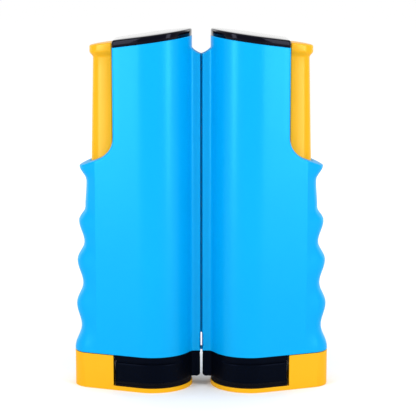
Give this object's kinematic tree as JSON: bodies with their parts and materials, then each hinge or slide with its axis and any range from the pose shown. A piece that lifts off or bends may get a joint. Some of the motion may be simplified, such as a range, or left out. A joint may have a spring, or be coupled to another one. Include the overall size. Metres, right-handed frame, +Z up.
{
  "type": "retractable table tennis net clamp set",
  "caption": "Table tennis net set with two clamp posts stored together; the net winds onto sprung rollers inside and each sprung jaw grips a table edge.",
  "frame": {"origin": "on the standing surface, midway between the two posts, on their meeting plane", "axes": "+X runs along the net from the left post to the right post, +Y from front to back, +Z up"},
  "size_m": [0.1276, 0.0394, 0.18],
  "materials": {
    "blue_shell": "moulded, soft gloss",
    "black_cap": "moulded, gloss",
    "black_base": "moulded, satin",
    "pad_rubber": "ribbed",
    "steel": "drawn, bright",
    "tube_plastic": "extruded",
    "bush_plastic": "moulded",
    "net": "knitted mesh",
    "tape": "woven, folded and stitched",
    "spring_steel": "drawn wire",
    "yellow_slider": "moulded, soft gloss",
    "yellow_jaw": "moulded, satin",
    "screw_steel": "zinc plated"
  },
  "bodies": {
    "left_jaw": {"left_slider": "yellow_slider", "left_lower_jaw": "yellow_jaw", "left_lower_pad": "pad_rubber", "left_slider_pin": "steel", "left_jaw_screws": "screw_steel"},
    "left_post": {"left_front_shell": "blue_shell", "left_rear_shell": "blue_shell", "left_top_cap": "black_cap", "left_base_cap": "black_base", "left_upper_pad": "pad_rubber", "left_spindle": "steel", "left_roller_spring": "spring_steel", "left_spring_pin": "steel", "left_clamp_spring": "spring_steel", "left_shell_screws": "screw_steel", "net_span": "net", "net_tape": "tape"},
    "left_roller": {"left_core_tube": "tube_plastic", "left_lower_bush": "bush_plastic", "left_upper_bush": "bush_plastic", "left_net_roll": "net"},
    "right_jaw": {"right_slider": "yellow_slider", "right_lower_jaw": "yellow_jaw", "right_lower_pad": "pad_rubber", "right_slider_pin": "steel", "right_jaw_screws": "screw_steel"},
    "right_post": {"right_front_shell": "blue_shell", "right_rear_shell": "blue_shell", "right_top_cap": "black_cap", "right_base_cap": "black_base", "right_upper_pad": "pad_rubber", "right_spindle": "steel", "right_roller_spring": "spring_steel", "right_spring_pin": "steel", "right_clamp_spring": "spring_steel", "right_shell_screws": "screw_steel"},
    "right_roller": {"right_core_tube": "tube_plastic", "right_lower_bush": "bush_plastic", "right_upper_bush": "bush_plastic", "right_net_roll": "net"}
  },
  "joints": [
    {"name": "left_clamp_slide", "type": "slide", "parent": "left_jaw", "child": "left_post", "axis": [0, 0, 1], "range_m": [0, 0.042], "stiffness_N_per_m": 350, "springref_m": -0.02, "deforming": ["left_clamp_spring"]},
    {"name": "net_pull", "type": "slide", "parent": "left_post", "child": "right_post", "axis": [1, 0, 0], "range_m": [0, 1.7], "stiffness_N_per_m": 2, "springref_m": -1, "deforming": ["net_span", "net_tape"]},
    {"name": "right_clamp_slide", "type": "slide", "parent": "right_post", "child": "right_jaw", "axis": [0, 0, -1], "range_m": [0, 0.042], "stiffness_N_per_m": 350, "springref_m": -0.02, "deforming": ["right_clamp_spring"]},
    {"name": "left_roller_spin", "type": "hinge", "parent": "left_post", "child": "left_roller", "pos_m": [-0.0243, 0, 0.09], "axis": [0, 0, 1], "range_deg": [-4400, 0], "deforming": ["left_roller_spring"]},
    {"name": "right_roller_spin", "type": "hinge", "parent": "right_post", "child": "right_roller", "pos_m": [0.0243, 0, 0.09], "axis": [0, 0, 1], "range_deg": [0, 4400], "deforming": ["right_roller_spring"]}
  ],
  "couplings": [
    {"joint": "left_roller_spin", "follows": "net_pull", "rad_per_m": -45},
    {"joint": "right_roller_spin", "follows": "net_pull", "rad_per_m": 45}
  ]
}
